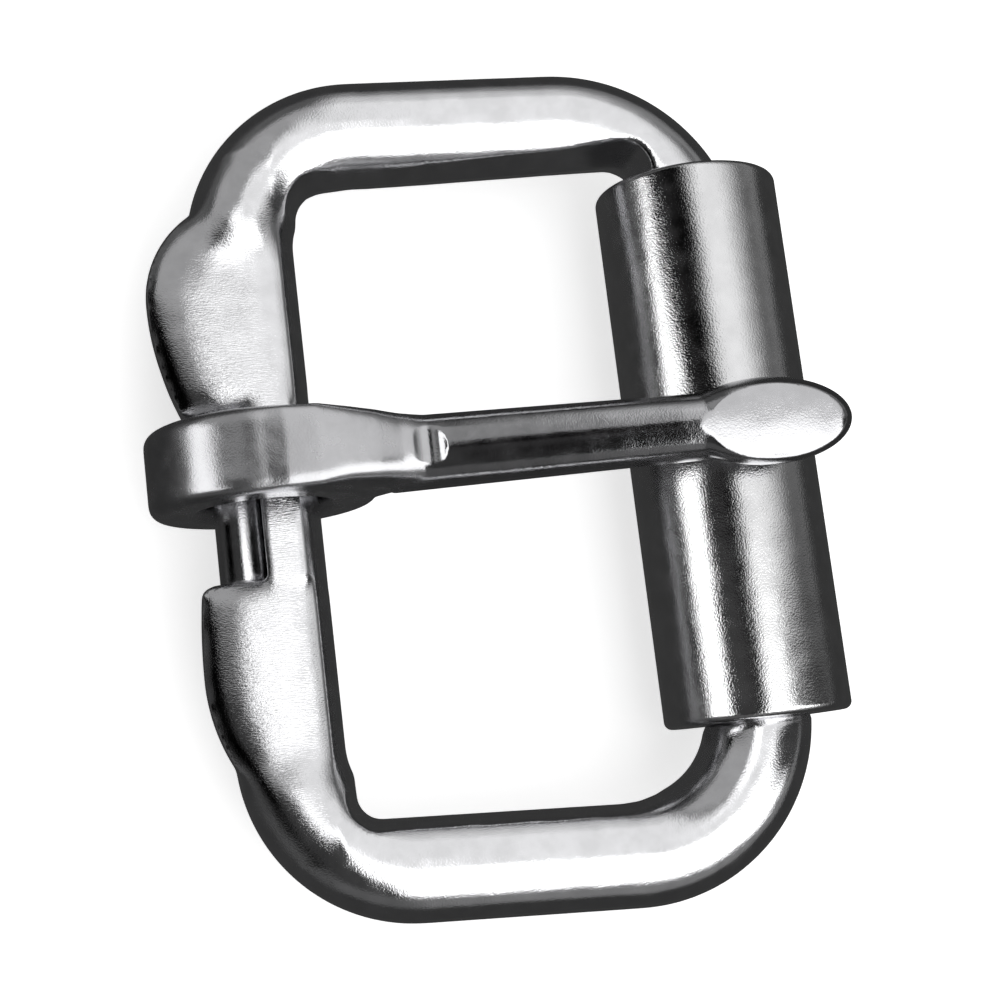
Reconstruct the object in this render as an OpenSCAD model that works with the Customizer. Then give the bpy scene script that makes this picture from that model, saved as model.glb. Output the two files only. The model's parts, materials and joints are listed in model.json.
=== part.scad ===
// Single tongue roller buckle for a 38 mm strap, lying on its back.
// +X runs from the heel bars to the roller, +Y along the bars, +Z up.
// Millimetres. z = 0 is the surface under the buckle.

/* [Frame] */
// clear width between the side bars at the heel, for the strap
clear_w = 40; // [36:0.5:46]
// distance from the heel bars to the roller bar
reach = 29; // [27:0.5:36]
// radius of the round rod that the frame is cast as
rod_r = 3.35; // [3.3:0.05:3.5]
// middle line radius of the upper corner at the heel
bend_a = 7.35; // [7:0.05:8]
// middle line radius of the lower corner at the heel
bend_b = 7.6; // [7.4:0.1:8.6]
// middle line radius of the upper corner at the roller
bend_c = 8.8; // [8.4:0.1:9.2]
// middle line radius of the lower corner at the roller
bend_d = 8.1; // [7.8:0.1:8.8]
// lean of the upper side bar, in degrees
lean_a = 2.2; // [1:0.1:3]
// lean of the lower side bar, in degrees
lean_b = 3.4; // [2:0.1:4]
// draft of the trimmed inner faces, in degrees
draft = 15; // [8:1:16]

/* [Heel] */
// where the upper lobe's end faces the tongue
gap_a = 5.6; // [5.2:0.1:6]
// where the lower lobe's end faces the tongue
gap_b = 4.7; // [4.4:0.1:5.2]
// how far the upper lobe bulges behind the heel rod's middle line
lobe_out_a = 6.05; // [5.8:0.05:6.4]
// how far the lower lobe bulges behind the heel rod's middle line
lobe_out_b = 4.65; // [4.5:0.05:5]
// radius of the hinge pin
pin_r = 1.5; // [1.4:0.05:1.5]

/* [Roller] */
// outside radius of the roller
roller_r = 5.85; // [5.7:0.05:6.2]
// length of the roller
roller_l = 34.6; // [33:0.1:34.8]
// running gap between the roller and its bar
roller_gap = 0.1; // [0.06:0.01:0.12]

/* [Tongue] */
// outside radius of the tongue's eye
eye_r = 7; // [6.9:0.05:7.2]
// radius of the hole in the eye
hole_r = 3.9; // [3.88:0.01:4.1]
// width of the eye along the pin
eye_w = 5.2; // [4.8:0.1:5.4]
// where the tongue sits along the pin
tongue_y = 2.15; // [-1.8:0.05:2.6]
// radius of the round shank where it leaves the neck
shank_r = 2.3; // [2.2:0.05:2.35]
// radius of the shank where the tip begins
shank_r_end = 1.95; // [1.9:0.05:2.1]
// how steeply the shank rises to the roller, in degrees
shank_rise = 10; // [8:0.5:11]
// end of the tip, measured from the middle of the heel rod
tip_x = 35.2; // [34.8:0.1:35.6]

/* [Hidden] */
$fn = 96;
// The heel rod's own middle is x = 0 in the modules; the part is then centred.
shift_x = -(tip_x - eye_r) / 2;
axis_z = roller_r;
// middle lines of the side bars where they leave the heel corners
side_a = clear_w / 2 + 3.45;
side_b = clear_w / 2 + 2.85;
// centres of the four corners
a_y = side_a - bend_a * cos(lean_a);
b_y = bend_b * cos(lean_b) - side_b;
c_x = reach - bend_c;
d_x = reach - bend_d;
// The straight bars run a little way into the bends, and are a hair thinner.
bar_r = rod_r - 0.02;
bar_lap = 0.3;
// ends of the two straight side bars
top_x0 = bend_a * (1 + sin(lean_a));
top_x1 = c_x + bend_c * sin(lean_a);
top_y1 = side_a - (top_x1 - top_x0) * tan(lean_a);
c_y = top_y1 - bend_c * cos(lean_a);
low_x0 = bend_b * (1 - sin(lean_b));
low_x1 = d_x - bend_d * sin(lean_b);
low_y1 = -side_b - (low_x1 - low_x0) * tan(lean_b);
d_y = low_y1 + bend_d * cos(lean_b);
// the opening's inner wall at the heel bows a little: nearest at the tongue
open_x0 = 3.3;
open_bow = 0.45;
open_x1 = reach - rod_r - 0.05;
open_low = -clear_w / 2 + 0.34;
open_low1 = open_low - (open_x1 - open_x0 - open_bow) * tan(lean_b);
bow_up = [6, 18];
bow_down = [-1, -18.2];
corner_a = 2.1;
corner_b = 1.5;
corner_c = 1.3;
corner_d = 5.5;
corner_lap = 0.12;
// A narrow upright land is left between the two drafts of each wall.
land = 0.06;
draft_in = 1.2;
eye_up = eye_r - roller_r;
// the heel rod is let in for the pin: what is left of it starts here
bar_x0 = -0.1;
bar_room = 0.15;
heel_r = bar_r - 0.02;
pin_gap = 0.1;
pin_x = bar_x0 - pin_gap - pin_r;
pin_end_a = 15;
pin_end_b = 11;
pin_fit = 0.03;
pin_short = 0.05;
roller_y0 = -16.5;
roller_y1 = roller_y0 + roller_l;
roller_edge = 0.5;
pivot_r = rod_r - 0.15;
room_r = 0.3;
room_y = 0.2;
bar_end = 0.05;
edge_r = 0.8;
// Each lobe is a thick disc in plan: tight at its far end, slow towards the gap.
lobe_top = 2.6;
lobe_slope = 2.2;
rim_r = 0.6;
rim_z = 1.5;
rim_in = 0.03;
soft_r = 1;
// The heel's faces are ground flat over the lobes, and run out on the rod.
face_z = 2.62;
face_y0 = -15.6;
face_y1 = 15.6;
face_run = 4.5;
full_a = 13;
full_b = 10.3;
far_a = 6.5;
far_b = 12;
slow_a = 17.5;
slow_b = 40;
neck_x = 8.6;
shank_y = -0.5;
rest_gap = 0.12;
// The shank rests just above the roller, and leans a little in plan.
shank_x = neck_x - 1;
shank_off = roller_r + rest_gap + shank_r_end;
shank_z = shank_off / cos(shank_rise) - (reach - shank_x) * tan(shank_rise) - eye_up;
shank_yaw = -2.25;
// The tip is a flattened spoon shape, spoon_l long beyond the shank's end.
spoon_l = 5.2;
spoon_w = 2.65;
spoon_h = 1.9;
shank_l = (tip_x - spoon_l - shank_x) / cos(shank_rise);
// The tip's flat starts at flat_x on the shank's top and falls to the end.
flat_x = 25.85;
flat_fall = 2;
flat_z = shank_z + (flat_x - shank_x) * tan(shank_rise) + shank_r_end + 0.08;
steel = [0.78, 0.78, 0.8];

// Part of a ring: middle line radius bend, tube radius rod_r, from angle a0.
module corner_rod(bend, a0, sweep)
  rotate([0, 0, a0])
    rotate_extrude(angle = sweep)
      translate([bend, 0])
        circle(r = rod_r);

// A side bar from (x0, y0) to x1, leaning by lean degrees.
module rod_x(x0, x1, y0, lean)
  translate([x0, y0, 0])
    rotate([0, 90, -lean])
      translate([0, 0, -bar_lap])
        cylinder(r = bar_r, h = (x1 - x0) / cos(lean) + 2 * bar_lap);

module rod_y(x, y0, y1, r)
  translate([x, y0, 0])
    rotate([-90, 0, 0])
      cylinder(r = r, h = y1 - y0);

// One rounded corner piece to leave out of a square outline.
module corner_off(r)
  translate([-corner_lap, -corner_lap])
    difference() {
      translate([-1, -1])
        square([r + 1, r + 1]);
      translate([r, r])
        circle(r = r);
    }

// The opening's outline, with its own radius in each corner.
module opening_shape()
  difference() {
    polygon([
      [open_x0 + open_bow, clear_w / 2], [open_x0, bow_up[0]], [open_x0, bow_down[0]],
      [open_x0 + open_bow, open_low], [open_x1, open_low1], [open_x1, clear_w / 2]
    ]);
    translate([open_x0 + open_bow, clear_w / 2])
      mirror([0, 1])
        corner_off(corner_a);
    translate([open_x0 + open_bow, open_low])
      rotate(-lean_b)
        corner_off(corner_b);
    translate([open_x1, open_low1])
      mirror([1, 0])
        rotate(lean_b)
          corner_off(corner_d);
    translate([open_x1, clear_w / 2])
      rotate(180)
        corner_off(corner_c);
  }

// A slab that cuts a wall back by the draft, above and below the middle line.
// The wall runs along X from 0, and the opening lies on its -Y side.
module draft_cut(length)
  for (face = [0, 1])
    mirror([0, 0, face])
      translate([-draft_in, -land, 0])
        rotate([-draft, 0, 0])
          translate([0, -6, -3])
            cube([length + 2 * draft_in, 6, 12]);

module draft_cuts() {
  bow_turn = atan(open_bow / (bow_up[1] - bow_up[0]));
  low_turn = atan(open_bow / (bow_down[0] - bow_down[1]));
  low_x = open_x1 - corner_d + draft_in;
  up_x = open_x0 + open_bow + corner_a;
  translate([up_x, clear_w / 2, 0])
    draft_cut(open_x1 - up_x - corner_c);
  translate([low_x, open_low - (low_x - open_x0 - open_bow) * tan(lean_b), 0])
    rotate([0, 0, 180 - lean_b])
      draft_cut(low_x - open_x0 - open_bow - corner_b);
  translate([open_x0, bow_up[0], 0])
    rotate([0, 0, 90 - bow_turn])
      draft_cut(bow_up[1] - bow_up[0]);
  translate([open_x0, bow_down[0], 0])
    rotate([0, 0, 90])
      draft_cut(bow_up[0] - bow_down[0]);
  translate([open_x0 + open_bow, bow_down[1], 0])
    rotate([0, 0, 90 + low_turn])
      draft_cut(bow_down[0] - bow_down[1]);
}

// Half section of a lobe's disc of radius r: flat faces, sloped shoulders and a
// round rim.
module lobe_section(r) {
  rim_x = r - rim_r + (rim_r - rim_in) * cos(70);
  rim_top = rim_z + (rim_r - rim_in) * sin(70);
  polygon([
    [0, -lobe_top], [r - lobe_slope, -lobe_top], [rim_x, -rim_top], [r - rim_r, -rim_z],
    [r, -rim_z], [r, rim_z], [r - rim_r, rim_z], [rim_x, rim_top], [r - lobe_slope, lobe_top],
    [0, lobe_top]
  ]);
  for (z = [-rim_z, rim_z])
    translate([r - rim_r, z])
      circle(r = rim_r);
}

// A lobe on the +Y side, from near on, kept behind the heel rod's middle line.
module lobe(out, full, far_r, slow_r, near)
  intersection() {
    union() {
      intersection() {
        translate([far_r - out, full, 0])
          rotate_extrude()
            lobe_section(far_r);
        translate([-10, full, -5])
          cube([20, 20, 10]);
      }
      intersection() {
        translate([slow_r - out, full, 0])
          rotate_extrude($fn = 240)
            lobe_section(slow_r);
        translate([-10, 0, -5])
          cube([20, full, 10]);
      }
    }
    translate([-10, 0, 0])
      rotate([90, 0, 90])
        linear_extrude(height = 10)
          lobe_end(near);
  }

// Side view of a lobe's end at the gap, drawn in Y and Z.
module lobe_end(near) {
  translate([near + soft_r, -lobe_top])
    square([30, 2 * lobe_top]);
  translate([near, soft_r - lobe_top])
    square([30, 2 * (lobe_top - soft_r)]);
  for (side = [-1, 1])
    translate([near + soft_r, side * (lobe_top - soft_r)])
      circle(r = soft_r);
}

// What the grinding takes off one face of the heel, seen along X and run out
// at both ends.
module heel_grind()
  for (face = [0, 1])
    mirror([0, 0, face])
      translate([-9, 0, 0])
        rotate([90, 0, 90])
          linear_extrude(height = 11.6)
            polygon([
              [face_y0, face_z], [face_y1, face_z], [face_y1 + face_run, face_z + 1.5],
              [face_y0 - face_run, face_z + 1.5]
            ]);

module heel_solid() {
  rod_y(0, gap_a, a_y + bar_lap, bar_r);
  rod_y(0, b_y - bar_lap, -gap_b, bar_r);
  lobe(lobe_out_a, full_a, far_a, slow_a, gap_a);
  mirror([0, 1, 0])
    lobe(lobe_out_b, full_b, far_b, slow_b, gap_b);
  // between the lobes, only the front part of the rod runs through the eye
  intersection() {
    rod_y(0, -gap_b - 1, gap_a + 1, heel_r);
    translate([0, 0, eye_up])
      rod_y(0, -gap_b - 0.9, gap_a + 0.9, hole_r - bar_room);
    translate([bar_x0, -20, -5])
      cube([10, 40, 10]);
  }
}

module frame_solid() {
  rod_x(top_x0, top_x1, side_a, lean_a);
  rod_x(low_x0, low_x1, -side_b, lean_b);
  translate([bend_a, a_y, 0])
    corner_rod(bend_a, 90 - lean_a, 90 + lean_a);
  translate([bend_b, b_y, 0])
    corner_rod(bend_b, 180, 90 - lean_b);
  translate([c_x, c_y, 0])
    corner_rod(bend_c, 0, 90 - lean_a);
  translate([d_x, d_y, 0])
    corner_rod(bend_d, 270 - lean_b, 90 + lean_b);
  heel_solid();
}

module frame()
  color(steel)
    translate([shift_x, 0, axis_z]) {
      difference() {
        frame_solid();
        translate([0, 0, -8])
          linear_extrude(height = 16)
            opening_shape();
        draft_cuts();
        heel_grind();
        // room for the roller, which reaches into both corners
        rod_y(reach, roller_y0 - room_y, roller_y1 + room_y, roller_r + room_r);
        rod_y(pin_x, -pin_end_b, pin_end_a, pin_r + pin_fit);
      }
      // the bar that the roller turns on
      rod_y(reach, roller_y0 - room_y - bar_end, roller_y1 + room_y + bar_end, pivot_r);
    }

module hinge_pin()
  color(steel)
    translate([shift_x, 0, axis_z])
      rod_y(pin_x, -pin_end_b + pin_short, pin_end_a - pin_short, pin_r);

module roller()
  color(steel)
    translate([shift_x + reach, roller_y0, axis_z])
      rotate([-90, 0, 0])
        rotate_extrude() {
          bore = pivot_r + roller_gap;
          translate([bore, roller_edge])
            square([roller_r - bore, roller_l - 2 * roller_edge]);
          translate([bore, 0])
            square([roller_r - bore - roller_edge, roller_l]);
          for (y = [roller_edge, roller_l - roller_edge])
            translate([roller_r - roller_edge, y])
              circle(r = roller_edge);
        }

// The eye: a ring with softened edges, its middle on the hinge axis.
module eye_ring()
  translate([0, -eye_w / 2, 0])
    rotate([-90, 0, 0])
      rotate_extrude() {
        translate([hole_r, edge_r])
          square([eye_r - hole_r, eye_w - 2 * edge_r]);
        translate([hole_r + edge_r, 0])
          square([eye_r - hole_r - 2 * edge_r, eye_w]);
        for (x = [hole_r + edge_r, eye_r - edge_r])
          for (y = [edge_r, eye_w - edge_r])
            translate([x, y])
              circle(r = edge_r);
      }

// Side profile of the band and neck from the eye to the shank, in X and Z. Its
// top falls from the eye's crest to the shank's start.
module neck_shape()
  polygon([
    [0, eye_r], [1.8, eye_r + 0.06], [4, eye_r - 0.12], [6, eye_r - 0.5], [8, eye_r - 1.03],
    [neck_x + 2, shank_z + 2.3], [neck_x + 2, shank_z], [8.1, shank_z - 2.1], [6.2, -3.2], [0, 0]
  ]);

// Plan of the band, which narrows and leans over to meet the shank.
module neck_plan()
  polygon([
    [-1, -eye_w / 2 + 0.3], [3, -eye_w / 2 + 0.3], [neck_x + 0.4, shank_y - 1.95],
    [neck_x + 2, shank_y - 1.2], [neck_x + 2, shank_y + 1.2], [neck_x + 0.4, shank_y + 1.95],
    [3, eye_w / 2 - 0.3], [-1, eye_w / 2 - 0.3]
  ]);

module neck()
  intersection() {
    translate([0, 5, 0])
      rotate([90, 0, 0])
        linear_extrude(height = 10)
          neck_shape();
    translate([0, 0, -8])
      linear_extrude(height = 20)
        neck_plan();
  }

module shank()
  translate([shank_x, shank_y, shank_z])
    rotate([0, -shank_rise, shank_yaw]) {
      rotate([0, 90, 0])
        cylinder(r1 = shank_r, r2 = shank_r_end, h = shank_l);
      translate([shank_l, 0, 0])
        rotate([0, shank_rise, 0])
          scale([spoon_l, spoon_w, spoon_h])
            sphere(r = 1);
    }

module tongue_solid()
  difference() {
    union() {
      eye_ring();
      neck();
      shank();
    }
    rotate([90, 0, 0])
      cylinder(r = hole_r, h = 20, center = true);
    // shallow hollow ground where the band meets the shank
    translate([neck_x + 0.5, 10, shank_z + 6.5])
      rotate([90, 0, 0])
        cylinder(r = 4, h = 20, $fn = 240);
    // leaf shaped flat ground on the tip, falling to its end
    translate([flat_x, -10, flat_z])
      rotate([0, flat_fall, 0])
        cube([14, 20, 4]);
  }

module tongue()
  color(steel)
    translate([shift_x, tongue_y, axis_z + eye_up])
      tongue_solid();

frame();
hinge_pin();
tongue();
roller();
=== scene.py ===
# %% [markdown]
# # A roller buckle in cast and polished steel
# The buckle is four parts: a cast frame, a short hinge pin in its heel, a
# forged tongue that swings on the heel, and a roller that turns on the front
# bar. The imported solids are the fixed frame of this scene, in metres. Each of
# them is replaced by a finer piece that keeps its place and its size.

# %% Load the frame
import json
import math

import bmesh
import bpy
from mathutils import Matrix, Vector

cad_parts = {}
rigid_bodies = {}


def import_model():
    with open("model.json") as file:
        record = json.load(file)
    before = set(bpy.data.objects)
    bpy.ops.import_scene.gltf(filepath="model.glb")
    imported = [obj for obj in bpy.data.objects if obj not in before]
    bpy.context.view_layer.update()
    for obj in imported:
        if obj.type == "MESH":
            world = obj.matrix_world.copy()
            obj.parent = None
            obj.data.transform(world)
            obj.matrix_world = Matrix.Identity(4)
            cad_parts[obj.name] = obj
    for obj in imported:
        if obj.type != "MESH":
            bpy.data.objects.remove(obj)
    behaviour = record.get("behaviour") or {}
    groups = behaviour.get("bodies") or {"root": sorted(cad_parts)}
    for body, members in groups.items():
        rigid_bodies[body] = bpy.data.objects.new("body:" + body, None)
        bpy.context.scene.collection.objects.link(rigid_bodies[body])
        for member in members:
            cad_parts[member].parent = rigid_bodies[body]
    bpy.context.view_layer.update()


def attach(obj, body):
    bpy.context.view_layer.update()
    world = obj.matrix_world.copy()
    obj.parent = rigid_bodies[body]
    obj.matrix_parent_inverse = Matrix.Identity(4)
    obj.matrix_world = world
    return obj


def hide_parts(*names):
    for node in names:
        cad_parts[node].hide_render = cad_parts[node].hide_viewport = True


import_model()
MM = 0.001

# %% [markdown]
# ## The shared measures
# The same measures as in the part's own source, in millimetres. x runs from
# the heel to the roller, y along the bars, and the rods' middle line lies at
# the roller's radius above the surface. ROUND is how many sides a round bar
# has: enough for a smooth edge, few enough to stay quick.

# %% Shared measures
HEEL_X = -14.1
ROLLER_X = 14.9
AXIS_Z = 5.85
ROD_R = 3.35
ROUND = 72
X_AXIS = Vector((1, 0, 0))
Y_AXIS = Vector((0, 1, 0))
Z_AXIS = Vector((0, 0, 1))

# %% [markdown]
# ## Places and objects
# A bmesh holds a shape while operators work on it. All shapes are drawn in
# millimetres where they belong, so every finished object can stay at the
# origin, and only its mesh is scaled to metres.

# %% Places and objects
def at(x, y, z, turn=0.0, axis=Z_AXIS):
    """A place in millimetres, with one turn in degrees about an axis."""
    return Matrix.Translation((x, y, z)) @ Matrix.Rotation(math.radians(turn), 4, axis)


def make_object(name, bm):
    """Turns a bmesh drawn in millimetres into an object in metres."""
    bmesh.ops.recalc_face_normals(bm, faces=bm.faces)
    bmesh.ops.transform(bm, matrix=Matrix.Scale(MM, 4), verts=bm.verts)
    mesh = bpy.data.meshes.new(name)
    bm.to_mesh(mesh)
    bm.free()
    made = bpy.data.objects.new(name, mesh)
    bpy.context.scene.collection.objects.link(made)
    return made


def fill_holes(bm):
    """Closes every open rim with a face and returns the new faces."""
    rim = [e for e in bm.edges if e.is_boundary]
    return bmesh.ops.holes_fill(bm, edges=rim, sides=0)["faces"]


# %% [markdown]
# ## The cast frame's rod
# The real frame is cast in one go: a round rod bent into a loop, with two
# swollen lobes at the heel that hold the pin. A curve with a round bevel
# could draw the rod, but a curve hides the radius of a bend in its handles.
# Here the rod is swept as the caster's pattern was, straight by straight and
# bend by bend, so every radius and lean is a number of its own. Side A is the
# far one (+y) and side B the near one, and the loop starts in the far lobe.

# %% Where the straights and bends meet
LEAN_A = math.radians(2.2)
LEAN_B = math.radians(3.4)
SIDE_A = 23.45
SIDE_B = 22.85
BEND_A = 7.35
BEND_B = 7.6
BEND_C = 8.8
BEND_D = 8.1
A_Y = SIDE_A - BEND_A * math.cos(LEAN_A)
B_Y = BEND_B * math.cos(LEAN_B) - SIDE_B
C_X = ROLLER_X - BEND_C
D_X = ROLLER_X - BEND_D
TOP_X0 = HEEL_X + BEND_A * (1 + math.sin(LEAN_A))
TOP_X1 = C_X + BEND_C * math.sin(LEAN_A)
TOP_FALL = (TOP_X1 - TOP_X0) * math.tan(LEAN_A)
C_Y = SIDE_A - TOP_FALL - BEND_C * math.cos(LEAN_A)
LOW_X0 = HEEL_X + BEND_B * (1 - math.sin(LEAN_B))
LOW_X1 = D_X - BEND_D * math.sin(LEAN_B)
LOW_FALL = (LOW_X1 - LOW_X0) * math.tan(LEAN_B)
D_Y = BEND_D * math.cos(LEAN_B) - SIDE_B - LOW_FALL
print("side bars run from", round(TOP_X0, 2), "to", round(TOP_X1, 2))


# %% Sweep the rod
def straight(bm, faces, move):
    """Extrudes the end face along a straight and returns the new end face."""
    grown = bmesh.ops.extrude_face_region(bm, geom=faces)["geom"]
    verts = [g for g in grown if isinstance(g, bmesh.types.BMVert)]
    bmesh.ops.translate(bm, verts=verts, vec=move)
    return [g for g in grown if isinstance(g, bmesh.types.BMFace)]


def bend(bm, faces, centre, angle):
    """Spins the end face round a bend and returns the new end face."""
    spun = bmesh.ops.spin(
        bm, geom=faces, cent=(centre[0], centre[1], AXIS_Z), axis=Z_AXIS,
        angle=angle, steps=24, use_merge=False,
    )
    return [g for g in spun["geom_last"] if isinstance(g, bmesh.types.BMFace)]


END_A = 6.4
END_B = -5.5
QUARTER = math.radians(-90)
body = bmesh.new()
made = bmesh.ops.create_circle(
    body, cap_ends=True, radius=ROD_R, segments=ROUND,
    matrix=at(HEEL_X, END_A, AXIS_Z, turn=-90, axis=X_AXIS),
)
tip = list(made["verts"][0].link_faces)
tip = straight(body, tip, Vector((0, A_Y - END_A, 0)))
tip = bend(body, tip, (HEEL_X + BEND_A, A_Y), QUARTER - LEAN_A)
tip = straight(body, tip, Vector((TOP_X1 - TOP_X0, -TOP_FALL, 0)))
tip = bend(body, tip, (C_X, C_Y), QUARTER + LEAN_A)
tip = straight(body, tip, Vector((0, D_Y - C_Y, 0)))
tip = bend(body, tip, (D_X, D_Y), QUARTER - LEAN_B)
tip = straight(body, tip, Vector((LOW_X0 - LOW_X1, LOW_FALL, 0)))
tip = bend(body, tip, (HEEL_X + BEND_B, B_Y), QUARTER + LEAN_B)
straight(body, tip, Vector((0, END_B - B_Y, 0)))
print("swept rod:", len(body.faces), "faces")
cast_frame = make_object("cast_frame", body)

# %% [markdown]
# ## The lobes
# Each lobe bulges behind the heel in plan: tight at its far end, slow towards
# the gap. That is two discs with the same face and rim, one small and one
# large, so both are turned on a lathe and cut where they meet. A sculpted
# blob would be quicker, but its rim would not stay even.

# %% Turn and cut a disc
FACE_Z = 2.62
RIM_R = 0.6
RIM_Z = 1.5
LOBE_FRONT = HEEL_X + 0.45
LOBE_EDGE = 0.8
WELD = 0.0005
# how far in from the rim, and how far the face has fallen there
FACE_ROLL = ((3.2, 0.0), (2.4, 0.03), (1.7, 0.12), (1.1, 0.27))


def lathe(bm, profile, place, steps=ROUND):
    """Spins a closed profile of (radius, height) points about Z, in an empty bmesh."""
    points = [bm.verts.new((r, 0, h)) for r, h in profile]
    rim = [bm.edges.new((a, b)) for a, b in zip(points, points[1:])]
    if profile[0][0] > 0:
        rim.append(bm.edges.new((points[-1], points[0])))
    bmesh.ops.spin(
        bm, geom=points + rim, cent=(0, 0, 0), axis=Z_AXIS, angle=math.tau,
        steps=steps, use_merge=True,
    )
    bmesh.ops.remove_doubles(bm, verts=bm.verts, dist=WELD)
    bmesh.ops.transform(bm, matrix=place, verts=bm.verts)


def keep_side(bm, point, normal):
    """Cuts everything off on the far side of a plane and closes the cut."""
    bmesh.ops.bisect_plane(
        bm, geom=bm.verts[:] + bm.edges[:] + bm.faces[:],
        plane_co=point, plane_no=normal, clear_outer=True,
    )
    return fill_holes(bm)


def disc(radius, x, y):
    """A thick disc whose flat faces roll over to a round rim, cut off at the rod."""
    upper = [(0.0, FACE_Z)]
    upper += [(radius - inward, FACE_Z - fall) for inward, fall in FACE_ROLL]
    for degrees in (72, 54, 36, 18, 0):
        a = math.radians(degrees)
        upper.append((radius - RIM_R + RIM_R * math.cos(a), RIM_Z + RIM_R * math.sin(a)))
    lower = [(r, -h) for r, h in reversed(upper)]
    bm = bmesh.new()
    lathe(bm, upper + lower, at(x, y, AXIS_Z), steps=240)
    keep_side(bm, (LOBE_FRONT, 0, 0), X_AXIS)
    return bm


# %% Add the two lobes
def join(made, other):
    """Lays another object's mesh beside this one's, ready to be melted with it."""
    bm = bmesh.new()
    bm.from_mesh(made.data)
    bm.from_mesh(other.data)
    bm.to_mesh(made.data)
    bm.free()
    bpy.data.objects.remove(other)


def add_lobe(made, side, out, full, far_r, slow_r, near):
    """One lobe on one side (1 or -1).

    It bulges by out behind the rod, is fullest at full, and ends at near.
    """
    lap = 0.4
    far_part = disc(far_r, HEEL_X + far_r - out, side * full)
    keep_side(far_part, (0, side * (full - lap), 0), -side * Y_AXIS)
    join(made, make_object("far_part", far_part))
    gap_part = disc(slow_r, HEEL_X + slow_r - out, side * full)
    keep_side(gap_part, (0, side * full, 0), side * Y_AXIS)
    end = keep_side(gap_part, (0, side * near, 0), -side * Y_AXIS)
    bmesh.ops.bevel(
        gap_part, geom=list({e for f in end for e in f.edges}), offset=LOBE_EDGE,
        affect="EDGES", segments=5, profile=0.5, material=-1,
    )
    join(made, make_object("gap_part", gap_part))


add_lobe(cast_frame, side=1, out=6.05, full=13.0, far_r=6.5, slow_r=17.5, near=5.6)
add_lobe(cast_frame, side=-1, out=4.65, full=10.3, far_r=12.0, slow_r=40.0, near=4.7)
print("rod and lobes:", len(cast_frame.data.polygons), "faces")

# %% [markdown]
# ## One skin
# Metal that is cast in one go has small blends where shapes meet. A union
# would leave sharp seams there, so a voxel skin melts the rod and the lobes
# into one body, and a few smoothing passes relax it.

# %% Melt rod and lobes
CAST_VOXEL = 0.2


def settle(made):
    """Turns an object's modifiers into its mesh."""
    graph = bpy.context.evaluated_depsgraph_get()
    mesh = bpy.data.meshes.new_from_object(made.evaluated_get(graph))
    made.modifiers.clear()
    made.data = mesh
    mesh.shade_smooth()


def remesh(made, voxel, passes):
    """Melts overlapping shapes into one skin, then relaxes it by some passes."""
    skin = made.modifiers.new("skin", "REMESH")
    skin.mode = "VOXEL"
    skin.voxel_size = voxel * MM
    soften = made.modifiers.new("soften", "SMOOTH")
    soften.factor = 0.5
    soften.iterations = passes
    settle(made)


remesh(cast_frame, CAST_VOXEL, 4)
print("cast body:", len(cast_frame.data.polygons), "faces")

# %% [markdown]
# ## The ground heel
# The heel side is pressed flat on a grinding belt, on both faces, so the lobes
# and the rod between them share one plane that runs out on the round rod.
# Bisecting with a plane would cut the whole frame, so a block with sloping
# ends is taken away with a boolean, which stops where the real belt stopped.

# %% Grind the heel
FACE_END = 15.6
FACE_RUN = 4.5
FACE_RISE = 1.5
BELT = (
    (-FACE_END - FACE_RUN, FACE_RISE), (-FACE_END, 0.0),
    (FACE_END, 0.0), (FACE_END + FACE_RUN, FACE_RISE),
)
# from behind the lobes to the inner side of the heel rod
BELT_X0 = HEEL_X - 9
BELT_LENGTH = 12.4


def combine(made, other, operation="DIFFERENCE"):
    """Cuts or trims one object with another and drops the other."""
    knife = made.modifiers.new("knife", "BOOLEAN")
    knife.operation = operation
    knife.solver = "EXACT"
    knife.object = other
    settle(made)
    bpy.data.objects.remove(other)


for face in (1, -1):
    belt = bmesh.new()
    for y, up in BELT:
        belt.verts.new((BELT_X0, y, AXIS_Z + face * (FACE_Z + up)))
    start = bmesh.ops.contextual_create(belt, geom=belt.verts[:])["faces"]
    straight(belt, start, Vector((BELT_LENGTH, 0, 0)))
    fill_holes(belt)
    combine(cast_frame, make_object("belt", belt))
print("ground heel:", round(2 * FACE_Z, 2), "mm thick")

# %% [markdown]
# ## The trimmed opening
# The inside of the loop is broached after casting, from both faces, so its
# walls lean back from a narrow land at mid height. The cutter is a rounded
# outline bridged over four levels, because each corner has its own radius and
# a bevel would give them all the same.

# %% Trim the opening
DRAFT = math.tan(math.radians(15))
LAND = 0.2
REACH = 7
# x, y and radius of each corner, the two middle ones for a slow bow at the heel
OPEN_CORNERS = [
    (-10.35, 20.0, 2.1),
    (-10.8, 6.0, 6.0),
    (-10.8, -1.0, 6.0),
    (-10.35, -19.66, 1.5),
    (11.5, -20.95, 5.5),
    (11.5, 20.0, 1.3),
]


def outline(corners, grow):
    """A rounded outline of (x, y, radius) corners, pushed outward by some millimetres."""
    steps = 8
    points = []
    for k, (x, y, radius) in enumerate(corners):
        here = Vector((x, y))
        before = (here - Vector(corners[k - 1][:2])).normalized()
        after = (Vector(corners[(k + 1) % len(corners)][:2]) - here).normalized()
        n0 = Vector((before.y, -before.x))
        n1 = Vector((after.y, -after.x))
        centre = here - (n0 + n1) * radius / (1 + n0.dot(n1))
        for step in range(steps + 1):
            points.append(centre + n0.slerp(n1, step / steps) * (radius + grow))
    return points


def level(bm, z, grow):
    """The opening's outline as a loop of edges at one height."""
    verts = [bm.verts.new((p.x, p.y, z)) for p in outline(OPEN_CORNERS, grow)]
    return [bm.edges.new((verts[k - 1], verts[k])) for k in range(len(verts))]


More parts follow.
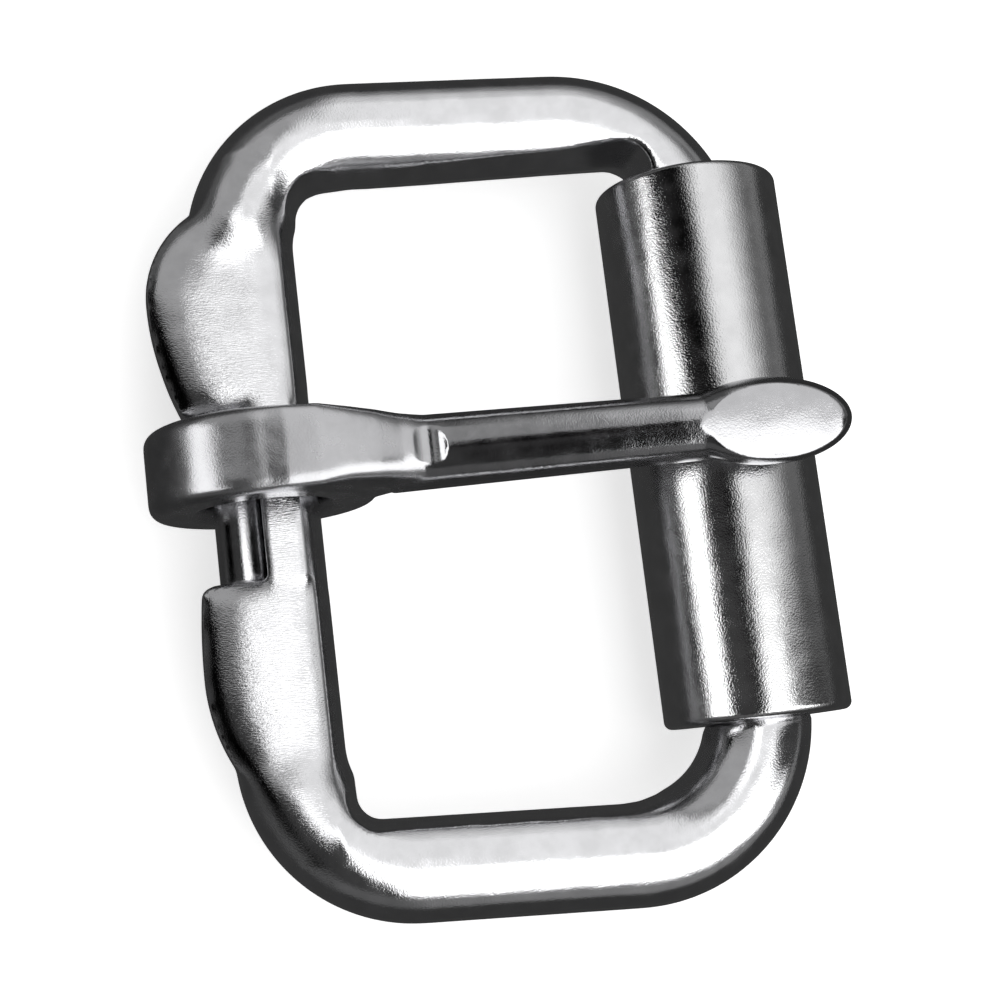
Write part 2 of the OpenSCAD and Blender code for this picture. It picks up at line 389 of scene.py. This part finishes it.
opening = bmesh.new()
loops = [
    level(opening, AXIS_Z - REACH, REACH * DRAFT),
    level(opening, AXIS_Z - LAND, 0),
    level(opening, AXIS_Z + LAND, 0),
    level(opening, AXIS_Z + REACH, REACH * DRAFT),
]
for a, b in zip(loops, loops[1:]):
    bmesh.ops.bridge_loops(opening, edges=a + b)
fill_holes(opening)
combine(cast_frame, make_object("opening", opening))
print("trimmed frame:", len(cast_frame.data.polygons), "faces")

# %% [markdown]
# ## The two bars
# The roller needs room in both front corners, with a plain bar through it. At
# the heel the pin lies in a bore behind what is left of the heel rod, which is
# relieved underneath so that the tongue's eye can swing. Rooms and bores are
# taken away as a mill and a drill take them, and then the bars are laid in,
# because a bar that is cut together with its room would lose its roundness.

# %% Room for the roller and the pin
ROLLER_R = 5.85
ROLLER_Y0 = -16.5
ROLLER_Y1 = 18.1
ROLLER_ROOM = 0.3
END_ROOM = 0.2
PIVOT_R = 3.2
# how far the front bar runs on into the corners, past the roller's ends
BAR_NEAR = 0.5
BAR_FAR = 0.3
PIN_X = -15.8
PIN_R = 1.5
PIN_FIT = 0.08
BORE_Y0 = -11.0
BORE_Y1 = 15.0


def rod(bm, place, radius, length, radius_end=None, segments=ROUND):
    """A round bar along its own X, from 0 to its length."""
    bmesh.ops.create_cone(
        bm, cap_ends=True, radius1=radius, radius2=radius_end or radius, depth=length,
        segments=segments, matrix=place @ at(length / 2, 0, 0, turn=90, axis=Y_AXIS),
    )


def y_rod(x, z, y0, y1, radius, segments=ROUND):
    """A round bar along Y as an object of its own."""
    bm = bmesh.new()
    rod(bm, at(x, y0, z, turn=90), radius, y1 - y0, segments=segments)
    return make_object("rod", bm)


room_y = (ROLLER_Y0 - END_ROOM, ROLLER_Y1 + END_ROOM)
combine(cast_frame, y_rod(ROLLER_X, AXIS_Z, *room_y, ROLLER_R + ROLLER_ROOM))
combine(cast_frame, y_rod(PIN_X, AXIS_Z, BORE_Y0, BORE_Y1, PIN_R + PIN_FIT))
join(cast_frame, y_rod(ROLLER_X, AXIS_Z, ROLLER_Y0 - BAR_NEAR, ROLLER_Y1 + BAR_FAR, PIVOT_R))
print("front bar:", round(2 * PIVOT_R, 2), "mm thick in a room for", 2 * ROLLER_R, "mm")

# %% The heel bar between the lobes
EYE_Z = 7.0
HOLE_R = 3.9
BAR_ROOM = 0.15
# the bar's back touches the pin, so that no light shows between them
BAR_BACK = 0.25
# a touch slimmer than the rod, and longer than the gap, so it ends in the lobes
BAR_R = ROD_R - 0.02
BAR_Y0 = -5.6
BAR_L = 12.1
RELIEF = (-8, 9)
heel = bmesh.new()
rod(heel, at(HEEL_X, BAR_Y0, AXIS_Z, turn=90), BAR_R, BAR_L)
keep_side(heel, (HEEL_X - BAR_BACK, 0, 0), -X_AXIS)
keep_side(heel, (0, 0, AXIS_Z + FACE_Z), Z_AXIS)
heel_bar = make_object("heel_bar", heel)
combine(heel_bar, y_rod(HEEL_X, EYE_Z, *RELIEF, HOLE_R - BAR_ROOM), "INTERSECT")
print("heel bar:", len(heel_bar.data.polygons), "faces")
join(cast_frame, heel_bar)

# %% [markdown]
# ## Tumbled edges
# After grinding, the frame is tumbled with stones, which rounds the ground
# faces' edges until they run softly into the rod. A bevel can't follow an
# edge that fades away, so the heel's vertices are smoothed again and again,
# and the pin's bore and the gap are left as they are.

# %% Skin and tumble the frame
FRAME_VOXEL = 0.215
TUMBLED_X = (HEEL_X + 2.4) * MM
TUMBLED_Z = 1.75 * MM
FAR_LOBE = (5.8 * MM, 22 * MM)
NEAR_LOBE = (-22 * MM, -4.9 * MM)
TUMBLING = 60
remesh(cast_frame, FRAME_VOXEL, 2)
worn = bmesh.new()
worn.from_mesh(cast_frame.data)
soft = [
    v for v in worn.verts
    if v.co.x < TUMBLED_X and abs(v.co.z - AXIS_Z * MM) > TUMBLED_Z
    and (FAR_LOBE[0] < v.co.y < FAR_LOBE[1] or NEAR_LOBE[0] < v.co.y < NEAR_LOBE[1])
]
for _ in range(TUMBLING):
    bmesh.ops.smooth_vert(
        worn, verts=soft, factor=0.5, use_axis_x=True, use_axis_y=True, use_axis_z=True)
worn.to_mesh(cast_frame.data)
print("frame:", len(cast_frame.data.polygons), "faces,", len(soft), "vertices tumbled")
worn.free()

# %% [markdown]
# ## The hinge pin
# A short cut of drawn rod, pressed into the two lobes. It shows only in the
# gap beside the tongue, so a lathe profile with broken edges is enough.

# %% Hinge pin
PIN_EDGE = 0.2
PIN_Y0 = BORE_Y0 + 0.05
PIN_Y1 = BORE_Y1 - 0.05
pin = bmesh.new()
profile = [
    (0.0, PIN_Y0), (PIN_R - PIN_EDGE, PIN_Y0), (PIN_R, PIN_Y0 + PIN_EDGE),
    (PIN_R, PIN_Y1 - PIN_EDGE), (PIN_R - PIN_EDGE, PIN_Y1), (0.0, PIN_Y1),
]
lathe(pin, profile, at(PIN_X, 0, AXIS_Z, turn=-90, axis=X_AXIS), steps=96)
pin_rod = make_object("hinge_pin_rod", pin)
pin_rod.data.shade_smooth()
print("pin:", len(pin_rod.data.polygons), "faces")

# %% [markdown]
# ## The roller
# A turned tube that is free on the front bar, with both its ends rounded over
# by the tumbling barrel. A cylinder with a bevel would round all its edges
# alike, so its section is drawn once and spun, as on a lathe, with wide curves
# outside and a narrow break at the bore.

# %% Roller
ROLLER_EDGE = 0.5
BORE_EDGE = 0.15
BORE_R = PIVOT_R + 0.1
ROLLER_L = ROLLER_Y1 - ROLLER_Y0


def rounded(r, h, turn_from, radius):
    """Points of one rounded corner, from an angle in degrees on for a quarter."""
    steps = 6
    points = []
    for k in range(steps + 1):
        a = math.radians(turn_from + 90 * k / steps)
        points.append((r + radius * math.cos(a), h + radius * math.sin(a)))
    return points


tube = bmesh.new()
profile = [(BORE_R, BORE_EDGE), (BORE_R + BORE_EDGE, 0.0)]
profile += rounded(ROLLER_R - ROLLER_EDGE, ROLLER_EDGE, -90, ROLLER_EDGE)
profile += rounded(ROLLER_R - ROLLER_EDGE, ROLLER_L - ROLLER_EDGE, 0, ROLLER_EDGE)
profile += [(BORE_R + BORE_EDGE, ROLLER_L), (BORE_R, ROLLER_L - BORE_EDGE)]
lathe(tube, profile, at(ROLLER_X, ROLLER_Y0, AXIS_Z, turn=-90, axis=X_AXIS), steps=192)
roller_tube = make_object("roller_tube", tube)
roller_tube.data.shade_smooth()
roller_tube.data.set_sharp_from_angle(angle=math.radians(40))
print("roller:", len(roller_tube.data.polygons), "faces")

# %% [markdown]
# ## The tongue's eye and band
# The real tongue is forged: a band bent into the eye, a neck, a round shank,
# and a tip with a flat ground on it. The eye is a lathe profile with soft
# edges. The band is lofted from a nearly square section to the shank's round
# one, since no single extrusion changes its section on the way.

# %% Eye and band
TONGUE_Y = 2.15
EYE_R = 7.0
EYE_W = 5.2
EYE_EDGE = 0.8
tongue_place = at(HEEL_X, TONGUE_Y, EYE_Z)
# x, y, top, bottom, half width, and squareness from 0.3 (square) to 1 (round)
BAND = (
    (-0.6, 0.0, 6.95, 4.7, 2.5, 0.3),
    (1.6, 0.0, 7.04, 4.2, 2.5, 0.3),
    (3.6, 0.0, 6.9, 3.0, 2.5, 0.32),
    (5.4, -0.05, 6.6, -2.6, 2.42, 0.36),
    (7.0, -0.2, 6.26, -1.0, 2.3, 0.45),
    (8.4, -0.38, 5.86, 0.9, 2.2, 0.65),
    (9.8, -0.52, 5.7, 1.35, 2.2, 0.95),
    (11.6, -0.62, 5.5, 2.2, 1.7, 0.9),
)


def section(bm, x, y, top, bottom, half_w, square):
    """One section across the tongue, as a loop of edges."""
    ring = bmesh.ops.create_circle(bm, segments=64, radius=1.0)
    for v in ring["verts"]:
        across = math.copysign(abs(v.co.x) ** square, v.co.x) * half_w
        up = math.copysign(abs(v.co.y) ** square, v.co.y) * (top - bottom) / 2
        v.co = tongue_place @ Vector((x, y + across, (top + bottom) / 2 + up))
    return list({e for v in ring["verts"] for e in v.link_edges})


forging = bmesh.new()
profile = rounded(HOLE_R + EYE_EDGE, EYE_EDGE, 180, EYE_EDGE)
profile += rounded(EYE_R - EYE_EDGE, EYE_EDGE, -90, EYE_EDGE)
profile += rounded(EYE_R - EYE_EDGE, EYE_W - EYE_EDGE, 0, EYE_EDGE)
profile += rounded(HOLE_R + EYE_EDGE, EYE_W - EYE_EDGE, 90, EYE_EDGE)
lathe(forging, profile, tongue_place @ at(0, -EYE_W / 2, 0, turn=-90, axis=X_AXIS), steps=144)
rings = [section(forging, *values) for values in BAND]
for a, b in zip(rings, rings[1:]):
    bmesh.ops.bridge_loops(forging, edges=a + b)
fill_holes(forging)
print("eye and band:", len(forging.faces), "faces")

# %% [markdown]
# ## The shank and the tip
# The shank rises by 10 degrees so that it clears the roller by a hair's
# breadth, and its height follows from that. Lofting on to the very tip would
# end in a pole of thin faces, so the shank is a plain tapered bar with a
# flattened ball at its end, and one skin joins them to the eye and the band.

# %% Shank and tip
SHANK_X = 7.6
SHANK_Y = -0.5
SHANK_R0 = 2.3
SHANK_R1 = 1.95
REST_GAP = 0.12
TIP_X = 35.2
TIP_SIZE = (5.2, 2.65, 1.9)
RISE = math.radians(10)
YAW = math.radians(-2.25)
REST_UP = (ROLLER_R + REST_GAP + SHANK_R1) / math.cos(RISE)
SHANK_FALL = (ROLLER_X - HEEL_X - SHANK_X) * math.tan(RISE)
SHANK_Z = REST_UP - SHANK_FALL - (EYE_Z - AXIS_Z)
SHANK_L = (TIP_X - TIP_SIZE[0] - SHANK_X) / math.cos(RISE)
BLEND_VOXEL = 0.12
shank_place = (
    tongue_place @ at(SHANK_X, SHANK_Y, SHANK_Z)
    @ Matrix.Rotation(YAW, 4, "Z") @ Matrix.Rotation(-RISE, 4, "Y")
)
rod(forging, shank_place, SHANK_R0, SHANK_L, SHANK_R1)
bmesh.ops.create_uvsphere(
    forging, u_segments=64, v_segments=48, radius=1.0,
    matrix=shank_place @ at(SHANK_L, 0, 0) @ Matrix.Rotation(RISE, 4, "Y")
    @ Matrix.Diagonal((*TIP_SIZE, 1.0)),
)
tongue_forging = make_object("tongue_forging", forging)
remesh(tongue_forging, BLEND_VOXEL, 6)
print("shank:", round(SHANK_L, 1), "mm long,", round(SHANK_Z, 2), "mm above the eye's middle")

# %% [markdown]
# ## The ground faces of the tongue
# The tip's face is ground with a slight crown, so it catches the light in two
# tones. The hollow where the band meets the shank is one pass of a small wheel.
# They could be modelled into the forging, but there the skin would blur them.
# Both are cut last, as on the real one, so that their edges stay crisp.

# %% Ground faces
FLAT_X = 25.85
FLAT_Z = 8.52
FLAT_FALL = math.radians(2)
# the crown's middle lies off the tongue's own, so the face leans to the near side
CROWN_SIDE = 1.85
CROWN_R = 24.0
CROWN_X0 = -12
CROWN_Y = 0.1
CROWN_L = 30
BLOCK_AT = (2, 0, 1.5)
BLOCK_SIZE = (20, 12, 4)
WHEEL_R = 1.5
WHEEL_X = HEEL_X + 9.9
WHEEL_Z = EYE_Z + SHANK_Z + 3.87
# both cutters run past the tongue on both sides
WHEEL_PASS = (-9, 11)
DRILL_PASS = (-7, 9)
TONGUE_VOXEL = 0.11
flat_place = (
    tongue_place @ at(FLAT_X, SHANK_Y + CROWN_SIDE, FLAT_Z) @ Matrix.Rotation(YAW, 4, "Z")
    @ Matrix.Rotation(FLAT_FALL, 4, "Y")
)
crown = bmesh.new()
block_place = flat_place @ at(*BLOCK_AT) @ Matrix.Diagonal((*BLOCK_SIZE, 1))
bmesh.ops.create_cube(crown, size=1.0, matrix=block_place)
crown_cut = make_object("crown", crown)
under = bmesh.new()
rod(under, flat_place @ at(CROWN_X0, CROWN_Y, -CROWN_R), CROWN_R, CROWN_L, segments=360)
combine(crown_cut, make_object("under", under))
combine(tongue_forging, crown_cut)
combine(tongue_forging, y_rod(WHEEL_X, WHEEL_Z, *WHEEL_PASS, WHEEL_R, segments=144))
combine(tongue_forging, y_rod(HEEL_X, EYE_Z, *DRILL_PASS, HOLE_R, segments=144))
remesh(tongue_forging, TONGUE_VOXEL, 2)
print("tongue:", len(tongue_forging.data.polygons), "faces")

# %% [markdown]
# ## On their bodies
# Each piece rides on the body that moves it, and takes the place of the solid
# it was modelled from. The pin is pressed into the frame, so it rides there.

# %% Place them on their bodies
for piece, body_name, cad_name, slot in (
    (cast_frame, "frame", "frame", "frame_steel"),
    (pin_rod, "frame", "hinge_pin", "pin_steel"),
    (roller_tube, "roller", "roller", "roller_steel"),
    (tongue_forging, "tongue", "tongue", "tongue_steel"),
):
    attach(piece, body_name)
    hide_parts(cad_name)
    print(piece.name, "rides on", body_name)


# %% [markdown]
# ## Colours and nodes
# Colours are read off as sRGB hex values, which a shader needs as linear
# light. One function adds any node, so a material reads as a list of what
# feeds what.

# %% Colours and nodes
def linear(hex_code):
    """An sRGB hex colour as linear RGBA."""
    out = []
    for k in (0, 2, 4):
        c = int(hex_code[k:k + 2], 16) / 255
        out.append(c / 12.92 if c <= 0.04045 else ((c + 0.055) / 1.055) ** 2.4)
    return (*out, 1.0)


def node(tree, kind, settings=None, **links):
    """Adds one node, with its settings, its values and its links.

    i0 is the first input and so on; any other name is the input's own name.
    A node given as a value stands for its first output.
    """
    made = tree.nodes.new(kind)
    for key, value in (settings or {}).items():
        setattr(made, key, value)
    for key, value in links.items():
        numbered = key[0] == "i" and key[1:].isdigit()
        socket = made.inputs[int(key[1:])] if numbered else made.inputs[key]
        if isinstance(value, bpy.types.Node):
            value = value.outputs[0]
        if isinstance(value, bpy.types.NodeSocket):
            tree.links.new(value, socket)
        else:
            socket.default_value = value
    return made


ADD = {"operation": "ADD"}
SUBTRACT = {"operation": "SUBTRACT"}
MULTIPLY = {"operation": "MULTIPLY"}
print("mid grey in linear light:", round(linear("808080")[0], 3))

# %% [markdown]
# ## Bright steel
# All four parts are stainless steel, finished in different ways. What they
# share is made here: tumbling stones leave dimples about a tenth of a
# millimetre wide, which break every reflected edge into dots, casting and
# forging leave slow waves over a few millimetres, and handling leaves stains
# that are a little darker and duller. An image of a scratched metal would do
# it too, but it would repeat and need a UV map.

# %% Bright steel
DIMPLE = 0.11 * MM
DIMPLE_DEPTH = 0.05 * MM
WAVE = 2.5 * MM
WAVE_DEPTH = 0.4 * MM
WAVE_SHARE = 0.1
STAIN = 1.4 * MM
STAIN_TINT = 0.9
STAIN_DULL = 1.7


def steel(name, colour, rough, stipple):
    """Polished stainless steel in one colour, with a roughness and a stipple strength."""
    mat = bpy.data.materials.new(name)
    mat.use_nodes = True
    tree = mat.node_tree
    shader = tree.nodes["Principled BSDF"]
    shader.inputs["Metallic"].default_value = 1.0
    coords = node(tree, "ShaderNodeTexCoord").outputs["Object"]
    grain = node(tree, "ShaderNodeTexNoise", i0=coords, Scale=1 / DIMPLE, Detail=2.0)
    waves = node(tree, "ShaderNodeTexNoise", i0=coords, Scale=1 / WAVE, Detail=1.0)
    stains = node(tree, "ShaderNodeTexNoise", i0=coords, Scale=1 / STAIN, Detail=4.0)
    tint = node(
        tree, "ShaderNodeMapRange", i0=stains, i1=0.35, i2=0.65, i3=STAIN_TINT, i4=1.0)
    base = node(
        tree, "ShaderNodeVectorMath", {"operation": "SCALE"}, i0=linear(colour)[:3], i3=tint)
    tree.links.new(base.outputs[0], shader.inputs["Base Color"])
    dull = node(
        tree, "ShaderNodeMapRange", i0=stains, i1=0.35, i2=0.7, i3=rough,
        i4=rough * STAIN_DULL)
    tree.links.new(dull.outputs[0], shader.inputs["Roughness"])
    slow = node(tree, "ShaderNodeBump", i0=WAVE_SHARE, i1=WAVE_DEPTH, i3=waves)
    fine = node(tree, "ShaderNodeBump", i0=stipple, i1=DIMPLE_DEPTH, i3=grain, Normal=slow)
    tree.links.new(fine.outputs[0], shader.inputs["Normal"])
    return mat


# %% [markdown]
# ## Satin band, ground heel
# The tongue's band and eye are left satin from forging, so they glow in soft
# grey where the shank mirrors. The heel's ground faces carry the belt's fine
# lines, which run along X and spread a reflection only in Y. Both are
# additions to the bright steel and fade out where the real finish does.

# %% Satin band, ground heel
BELT_LINE = 0.06 * MM
BELT_DEPTH = 0.02 * MM
BELT_STRETCH = 0.1
SATIN_MORE = 0.12
# along X, where the ground faces end
FACES_FADE = (-12.6 * MM, -11.6 * MM)
# above and below the rods' middle line, where round metal turns into ground face
HEIGHT_FADE = (1.9 * MM, 2.5 * MM)
ROUND_SHARE = 0.3
# along Y, where the far lobe was pressed less hard
PRESS_FADE = (8 * MM, 13 * MM)
PRESS_SHARE = 0.4


def leave_satin(mat, end):
    """Makes the steel duller up to some place along X, fading over a millimetre."""
    tree = mat.node_tree
    shader = tree.nodes["Principled BSDF"]
    dull = shader.inputs["Roughness"].links[0].from_socket
    coords = node(tree, "ShaderNodeTexCoord").outputs["Object"]
    along = node(tree, "ShaderNodeSeparateXYZ", i0=coords).outputs["X"]
    satin = node(
        tree, "ShaderNodeMapRange", i0=along, i1=end, i2=end + MM, i3=SATIN_MORE, i4=0.0)
    both = node(tree, "ShaderNodeMath", ADD, i0=dull, i1=satin)
    tree.links.new(both.outputs[0], shader.inputs["Roughness"])


def grind_faces(mat, strength):
    """Adds the belt's lines on the heel's two ground faces.

    A fine belt's own lines are too fine to show, so they are drawn about as
    wide as a pixel of a picture that the buckle fills.
    """
    tree = mat.node_tree
    shader = tree.nodes["Principled BSDF"]
    normal = shader.inputs["Normal"].links[0].from_socket
    coords = node(tree, "ShaderNodeTexCoord").outputs["Object"]
    stretched = node(tree, "ShaderNodeMapping", i0=coords, i3=(BELT_STRETCH, 1, 1))
    lines = node(tree, "ShaderNodeTexNoise", i0=stretched, Scale=1 / BELT_LINE, Detail=2.0)
    x, y, z = node(tree, "ShaderNodeSeparateXYZ", i0=coords).outputs
    on_heel = node(
        tree, "ShaderNodeMapRange", i0=x, i1=FACES_FADE[0], i2=FACES_FADE[1], i3=1, i4=0)
    lifted = node(tree, "ShaderNodeMath", SUBTRACT, i0=z, i1=AXIS_Z * MM)
    height = node(tree, "ShaderNodeMath", {"operation": "ABSOLUTE"}, i0=lifted)
    on_face = node(
        tree, "ShaderNodeMapRange", i0=height, i1=HEIGHT_FADE[0], i2=HEIGHT_FADE[1],
        i3=ROUND_SHARE, i4=1)
    pressed = node(
        tree, "ShaderNodeMapRange", i0=y, i1=PRESS_FADE[0], i2=PRESS_FADE[1], i3=strength,
        i4=strength * PRESS_SHARE)
    depth = on_heel
    for share in (on_face, pressed):
        depth = node(tree, "ShaderNodeMath", MULTIPLY, i0=depth, i1=share)
    ground = node(
        tree, "ShaderNodeBump", i0=depth, i1=BELT_DEPTH, i3=lines, Normal=normal)
    tree.links.new(ground.outputs[0], shader.inputs["Normal"])


# %% Finish the four pieces
# Cast steel, tumbled and polished: it mirrors the lights as broad white bands.
polished = steel("polished_cast_steel", "e0e0e2", rough=0.1, stipple=0.16)
grind_faces(polished, strength=0.9)
cast_frame.data.materials.append(polished)
# Drawn rod: a little duller than the frame, and its colour a shade darker as painted shade,
# so it stays quiet in the gap between the lobes.
pin_rod.data.materials.append(steel("drawn_pin_rod", "cfcfd1", rough=0.13, stipple=0.25))
# Turned tube: the strongest stipple, so its bands have dotted edges.
roller_tube.data.materials.append(
    steel("turned_roller_steel", "e2e2e3", rough=0.11, stipple=0.3))
# Forged steel: the darkest, a satin band and a mirror-like shank.
forged = steel("satin_tongue_steel", "bebec0", rough=0.1, stipple=0.14)
leave_satin(forged, end=-5.0 * MM)
tongue_forging.data.materials.append(forged)
for piece in (cast_frame, pin_rod, roller_tube, tongue_forging):
    print(piece.name, "is made of", piece.data.materials[0].name)

# %% [markdown]
# ## The floor
# A pale floor that nearly glows, as a sheet lit from all around does. Strong
# lamps could make it as pale, but they would show in the steel, so it gives
# off a little light itself. It is kept out of the steel's mirrors, where only
# the lights should show.

# %% Floor
FLOOR_HALF = 900
floor_shape = bmesh.new()
bmesh.ops.create_grid(floor_shape, x_segments=1, y_segments=1, size=FLOOR_HALF)
floor = make_object("floor", floor_shape)
floor.visible_glossy = False
floor_mat = bpy.data.materials.new("pale_floor")
floor_mat.use_nodes = True
floor_shader = floor_mat.node_tree.nodes["Principled BSDF"]
floor_shader.inputs["Base Color"].default_value = linear("f4f4f4")
floor_shader.inputs["Roughness"].default_value = 0.9
floor_shader.inputs["Emission Color"].default_value = (1, 1, 1, 1)
floor_shader.inputs["Emission Strength"].default_value = 0.7
floor.data.materials.append(floor_mat)
print("floor:", [round(side, 2) for side in floor.dimensions[:2]], "m")

# %% [markdown]
# ## The studio's light
# Polished steel shows nothing but what stands around it, so the light is the
# picture. Lamps would give it small hard spots, and real soft light has edges,
# so it is drawn on the world's sphere by two leans, in degrees from straight
# up: to the right (x) and to the far side (y). There is a white half of the
# roof on the near side, a grey half on the far side, a dim wall, and darkness
# below. The camera sees a plain pale backdrop instead.

# %% The two leans
world = bpy.data.worlds.new("studio")
bpy.context.scene.world = world
world.use_nodes = True
tree = world.node_tree
tree.nodes.clear()
direction = node(tree, "ShaderNodeTexCoord").outputs["Generated"]
x_dir, y_dir, z_dir = node(tree, "ShaderNodeSeparateXYZ", i0=direction).outputs
leans = []
for side_dir in (x_dir, y_dir):
    turn = node(tree, "ShaderNodeMath", {"operation": "ARCTAN2"}, i0=side_dir, i1=z_dir)
    leans.append(node(tree, "ShaderNodeMath", MULTIPLY, i0=turn, i1=180 / math.pi))
lean_x, lean_y = leans


def window(lean, low, high, soft):
    """1 between two leans in degrees, falling to 0 over a soft edge."""
    past_low = node(tree, "ShaderNodeMath", SUBTRACT, i0=lean, i1=low)
    past_high = node(tree, "ShaderNodeMath", SUBTRACT, i0=lean, i1=high)
    rise = node(tree, "ShaderNodeMapRange", i0=past_low, i1=-soft, i2=soft)
    fall = node(tree, "ShaderNodeMapRange", i0=past_high, i1=-soft, i2=soft, i3=1.0, i4=0.0)
    return node(tree, "ShaderNodeMath", MULTIPLY, i0=rise, i1=fall)


# %% Roof, wall and backdrop
WHITE = 2.2
DARK = 0.045
BACKDROP = 0.9
ROOF_FAR = (-2, 90)
ROOF_NEAR = (-64, -3)
ROOF_LEFT = 0
# The right edge of the white half is here, less the lean to the far side.
SLANT_FROM = 22.0
SLANT_MOST = 70.0
WALL_FAR = (66, 90)
WALL_NEAR = (-91, -64)
# The grey half starts softly on the left, fades slowly to the right, and
# fades towards its far end.
left_rise = node(tree, "ShaderNodeMapRange", i0=lean_x, i1=-10, i2=2)
right_fade = node(tree, "ShaderNodeMapRange", i0=lean_x, i1=32, i2=64, i3=1.0, i4=0.1)
far_fade = node(tree, "ShaderNodeMapRange", i0=lean_y, i1=54, i2=84, i3=1.0, i4=0.0)
far_roof = window(lean_y, *ROOF_FAR, soft=1)
for share in (left_rise, right_fade, far_fade):
    far_roof = node(tree, "ShaderNodeMath", MULTIPLY, i0=far_roof, i1=share)
# The white half has a slanted right edge and a crisp edge along the middle.
slant = node(tree, "ShaderNodeMath", SUBTRACT, i0=SLANT_FROM, i1=lean_y)
slant = node(tree, "ShaderNodeMath", {"operation": "MINIMUM"}, i0=SLANT_MOST, i1=slant)
near_roof = window(lean_y, *ROOF_NEAR, soft=1)
for share in (window(lean_x, ROOF_LEFT, slant, soft=4), WHITE):
    near_roof = node(tree, "ShaderNodeMath", MULTIPLY, i0=near_roof, i1=share)
# A dim wall stands round the roof, dimmer on the left; everything lower is dark.
wall = node(
    tree, "ShaderNodeMath", ADD, i0=window(lean_y, *WALL_FAR, soft=4),
    i1=window(lean_y, *WALL_NEAR, soft=2))
wall_light = node(tree, "ShaderNodeMapRange", i0=lean_x, i1=-20, i2=4, i3=0.07, i4=0.19)
wall = node(tree, "ShaderNodeMath", MULTIPLY, i0=wall, i1=wall_light)
light = far_roof
for share in (near_roof, wall, DARK):
    light = node(tree, "ShaderNodeMath", ADD, i0=light, i1=share)
seen = node(tree, "ShaderNodeLightPath").outputs["Is Camera Ray"]
mixed = node(tree, "ShaderNodeMix", {"data_type": "FLOAT"}, i0=seen, i2=light, i3=BACKDROP)
back = node(tree, "ShaderNodeBackground", Color=(1, 1, 1, 1), Strength=mixed)
node(tree, "ShaderNodeOutputWorld", Surface=back)
print("studio light:", len(tree.nodes), "nodes")


# %% [markdown]
# ## Soft boxes
# The real lights stood close to the buckle, so each piece mirrored them at an
# angle of its own. A sky is the same for all pieces, so four flat boxes hang
# overhead and are linked to the pieces that should mirror them. Their heights
# differ only to keep them apart, and their corners are leans in degrees.

# %% Soft boxes
def soft_box(name, height, corners, brightness, lit_objects):
    """A flat glowing panel that lights only the given pieces."""
    bm = bmesh.new()
    for lean_right, lean_far in corners:
        place = (math.tan(math.radians(lean_right)), math.tan(math.radians(lean_far)), 1.0)
        bm.verts.new(Vector(place) * height)
    bm.faces.new(bm.verts[:])
    box = make_object(name, bm)
    box.visible_camera = False
    box.visible_diffuse = False
    box.visible_shadow = False
    mat = bpy.data.materials.new(name)
    mat.use_nodes = True
    shader = mat.node_tree.nodes["Principled BSDF"]
    shader.inputs["Base Color"].default_value = (0, 0, 0, 1)
    shader.inputs["Specular IOR Level"].default_value = 0.0
    shader.inputs["Emission Color"].default_value = (1, 1, 1, 1)
    shader.inputs["Emission Strength"].default_value = brightness
    box.data.materials.append(mat)
    receivers = bpy.data.collections.new(name)
    for obj in lit_objects:
        receivers.objects.link(obj)
    box.light_linking.receiver_collection = receivers
    print(name, "lights", [obj.name for obj in lit_objects])


# The bright band along the left of the roller, and on the eye's crest.
soft_box(
    "strip_box", height=620, brightness=2.1, lit_objects=(roller_tube, tongue_forging),
    corners=((-71, -50), (-45, -50), (-45, 56), (-71, 56)))
# The grey on everything that faces up and to the left.
soft_box(
    "side_box", height=600, brightness=0.42,
    lit_objects=(cast_frame, tongue_forging, pin_rod),
    corners=((-9, 4), (-9, 66), (-66, 64), (-60, 34), (-24, 8)))
# The white roof reaches further left for the frame.
soft_box(
    "near_box", height=580, brightness=WHITE, lit_objects=(cast_frame,),
    corners=((-5, -3), (-12, -26), (-12, -62), (1, -62), (1, -3)))
# The white on the heel's ground faces.
soft_box(
    "heel_box", height=560, brightness=1.7, lit_objects=(cast_frame,),
    corners=((-14, -3), (1, -3), (1, 15), (-14, 15)))

# %% [markdown]
# ## The camera
# Its place and turn come from fitting the solids' outline to the photograph's,
# seen from above with the buckle a little turned. The Standard view keeps
# white steel white.

# %% Camera
CAMERA_AT = Vector((-13.281, -18.349, 116.535)) * MM
TILT = Matrix.Rotation(0.155, 4, "X")
SWING = Matrix.Rotation(-0.122, 4, "Y")
ROLL = Matrix.Rotation(-0.102, 4, "Z")
camera_data = bpy.data.cameras.new("camera")
camera_data.sensor_width = 36.0
camera_data.lens = 64.8
camera_data.clip_start = 0.01
camera = bpy.data.objects.new("camera", camera_data)
bpy.context.scene.collection.objects.link(camera)
camera.matrix_world = Matrix.Translation(CAMERA_AT) @ TILT @ SWING @ ROLL
bpy.context.scene.camera = camera
bpy.context.scene.view_settings.view_transform = "Standard"
print("camera:", round(CAMERA_AT.z / MM), "mm above the floor")
